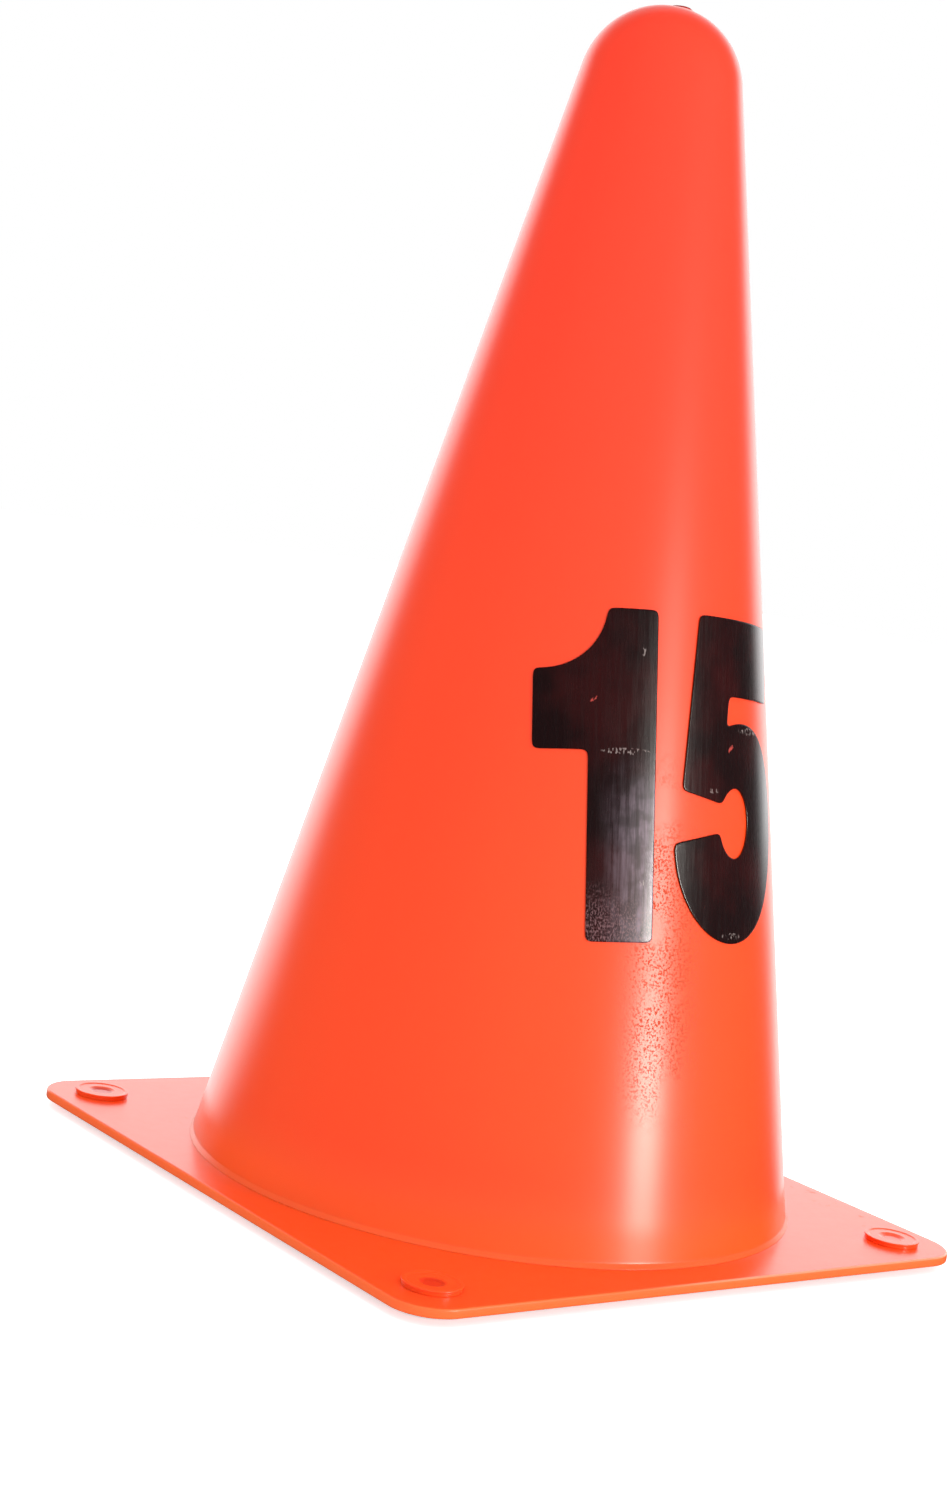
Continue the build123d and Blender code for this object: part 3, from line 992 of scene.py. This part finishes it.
class MARKER_OT_corner_feet(bpy.types.Operator):
    """Make the four corner feet, staked through the plate"""

    bl_idname = "marker.corner_feet"
    bl_label = "Corner Feet"

    def execute(self, context):
        settings = context.scene.marker_cone
        feet = settings.feet
        profile = foot_profile(feet, settings.plate)
        piece = new_piece("marker_corner_feet", profile_mesh("foot_profile", profile, AXIS_RADIUS))
        tree, identifiers = turned_tree(True)
        finish = bpy.data.objects["marker_base_plate"].data.materials[0]
        grown(
            piece,
            tree,
            identifiers,
            {"Axis Radius": AXIS_RADIUS, "Steps Around": FOOT_STEPS, "Finish": finish, "Pitch": feet.pitch},
        )
        hand_over(piece, "base_plastic", *FEET)
        return {"FINISHED"}


class MARKER_OT_number(bpy.types.Operator):
    """Make the digits one and five as a film on the wall"""

    bl_idname = "marker.number"
    bl_label = "Number"

    def execute(self, context):
        settings = context.scene.marker_cone
        number = settings.number
        wall = Wall(settings.shell, settings.plate)
        tree, identifiers = wrapping_tree()
        finish = printed_film("number_film", number.tint, settings.shell.tint)
        foot_slant = wall.radius(settings.plate.top + number.rise) / sin(wall.half_angle)
        sizes = {
            "Apex Height": wall.apex,
            "Half Angle": wall.half_angle,
            "Foot Slant": foot_slant,
            "Finish": finish,
        }
        left = number.left
        digits = (("digit_1", one_shapes, ONE_WIDTH), ("digit_5", five_shapes, FIVE_WIDTH))
        for node, shapes, width in digits:
            joined, cut = shapes(number.height)
            loops = [softened(loop, number.softness) for loop in outline_of(joined, cut)]
            loops = [[point + Vector((left, 0.0)) for point in loop] for loop in loops]
            grid = grid_inside(loops, FILM_STEP_X, FILM_STEP_Y, FILM_MARGIN)
            top = number.bond + number.thickness
            mesh = rounded_slab(node, loops, number.bond, top, [number.edge_radius] * len(loops), grid)
            piece = new_piece("marker_" + node, mesh)
            grown(piece, tree, identifiers, sizes)
            hand_over(piece, "number_film", node)
            left += width + number.gap
        return {"FINISHED"}


# Stage


CAMERA_PLACE = (-299.530 * MM, -350.223 * MM, 128.389 * MM)
CAMERA_RIGHT = (0.781378, -0.605006, 0.153022)
CAMERA_UP = (-0.061148, 0.169799, 0.98358)
CAMERA_BACK = (-0.621055, -0.777905, 0.095682)
CAMERA_LENS = 57.36
FLOOR_DROP = 0.2 * MM  # floor below the feet
LAMP_COLOUR = (1.0, 0.99, 0.92)
LAMP_TARGET = (0.0, 0.0, 40 * MM)
LAMP_AZIMUTH, LAMP_ELEVATION = 19.0, 9.0
LAMP_DISTANCE, LAMP_WIDTH, LAMP_HEIGHT = 1.0, 0.18, 0.25


def studio_world(ambient):
    """White where the camera looks, a bright backdrop behind the object for gloss, and even light elsewhere."""
    world = bpy.data.worlds.new("studio")
    world.use_nodes = True
    tree = world.node_tree
    tree.nodes.clear()
    rays = Wire.add(tree, "ShaderNodeLightPath")
    seen = rays["Is Camera Ray"]
    gloss = rays["Is Glossy Ray"] + rays["Is Transmission Ray"]
    direction = Wire.add(tree, "ShaderNodeTexCoord", output="Generated")
    aside = direction.node(
        "ShaderNodeVectorMath", {"operation": "DOT_PRODUCT"}, {0: direction, 1: BRIGHT_SIDE}, output="Value"
    )
    unseen = gloss * backdrop_level(direction, BACKDROP, 0.6, 0.82) + (1.0 - gloss) * (ambient + 0.3 * aside)
    level = seen + (1.0 - seen) * unseen
    white = opaque((1.0, 1.0, 1.0))
    background = Wire.add(tree, "ShaderNodeBackground", None, {"Color": white, "Strength": level})
    Wire.add(tree, "ShaderNodeOutputWorld", None, {"Surface": background})
    return world


def softbox(name, power):
    """A soft area lamp that looks at its target. Azimuth 0 is in front of the number, and 90 at +X."""
    lamp = bpy.data.lights.new(name, "AREA")
    lamp.shape = "RECTANGLE"
    lamp.size = LAMP_WIDTH
    lamp.size_y = LAMP_HEIGHT
    lamp.energy = power
    lamp.color = LAMP_COLOUR
    turn, lift = radians(LAMP_AZIMUTH), radians(LAMP_ELEVATION)
    towards = Vector((sin(turn) * cos(lift), -cos(turn) * cos(lift), sin(lift)))
    box = bpy.data.objects.new(name, lamp)
    box.location = Vector(LAMP_TARGET) + towards * LAMP_DISTANCE
    box.rotation_euler = towards.to_track_quat("Z", "Y").to_euler()
    bpy.context.scene.collection.objects.link(box)


class MARKER_OT_stage(bpy.types.Operator):
    """Make the floor, the light and the camera"""

    bl_idname = "marker.stage"
    bl_label = "Stage"

    def execute(self, context):
        scene = context.scene
        stage = scene.marker_cone.stage
        scene.view_settings.view_transform = "Standard"
        half = stage.floor_side / 2
        mesh = bpy.data.meshes.new("floor")
        corners = [(x * half, y * half, -FLOOR_DROP) for x, y in ((-1, -1), (1, -1), (1, 1), (-1, 1))]
        mesh.from_pydata(corners, [], [(0, 1, 2, 3)])
        mesh.materials.append(pale_floor("pale_floor", stage.floor_tint))
        new_piece("floor", mesh)
        scene.world = studio_world(stage.ambient)
        softbox("softbox_right", stage.softbox_power)
        lens = bpy.data.cameras.new("camera")
        lens.sensor_fit = "AUTO"
        lens.sensor_width = 36.0
        lens.lens = CAMERA_LENS
        lens.clip_start = 0.01
        camera = bpy.data.objects.new("camera", lens)
        turn = Matrix((CAMERA_RIGHT, CAMERA_UP, CAMERA_BACK)).transposed()
        camera.matrix_world = Matrix.Translation(CAMERA_PLACE) @ turn.to_4x4()
        scene.collection.objects.link(camera)
        scene.camera = camera
        return {"FINISHED"}


class MARKER_PT_panel(bpy.types.Panel):
    """Sizes, colours and makers of the marker cone"""

    bl_idname = "MARKER_PT_panel"
    bl_label = "Marker Cone"
    bl_space_type = "VIEW_3D"
    bl_region_type = "UI"
    bl_category = "Marker Cone"

    def draw(self, context):
        settings = context.scene.marker_cone
        for group, makers in PANEL_GROUPS:
            box = self.layout.box()
            for maker in makers:
                box.operator(maker.bl_idname)
            part = getattr(settings, group)
            for name in part.bl_rna.properties.keys():
                if name not in ("rna_type", "name"):
                    box.prop(part, name)


PANEL_GROUPS = (
    ("shell", (MARKER_OT_cone_shell,)),
    ("plate", (MARKER_OT_base_plate,)),
    ("feet", (MARKER_OT_corner_feet,)),
    ("number", (MARKER_OT_number,)),
    ("stage", (MARKER_OT_stage,)),
)
CLASSES = (
    ShellSettings,
    PlateSettings,
    FeetSettings,
    NumberSettings,
    StageSettings,
    MarkerConeSettings,
    MARKER_OT_cone_shell,
    MARKER_OT_base_plate,
    MARKER_OT_corner_feet,
    MARKER_OT_number,
    MARKER_OT_stage,
    MARKER_PT_panel,
)


def register():
    for kind in CLASSES:
        bpy.utils.register_class(kind)
    bpy.types.Scene.marker_cone = PointerProperty(type=MarkerConeSettings)


def unregister():
    del bpy.types.Scene.marker_cone
    for kind in reversed(CLASSES):
        bpy.utils.unregister_class(kind)


def main():
    register()
    bpy.ops.marker.cone_shell()
    bpy.ops.marker.base_plate()
    bpy.ops.marker.corner_feet()
    bpy.ops.marker.number()
    bpy.ops.marker.stage()


if __name__ == "__main__":
    main()
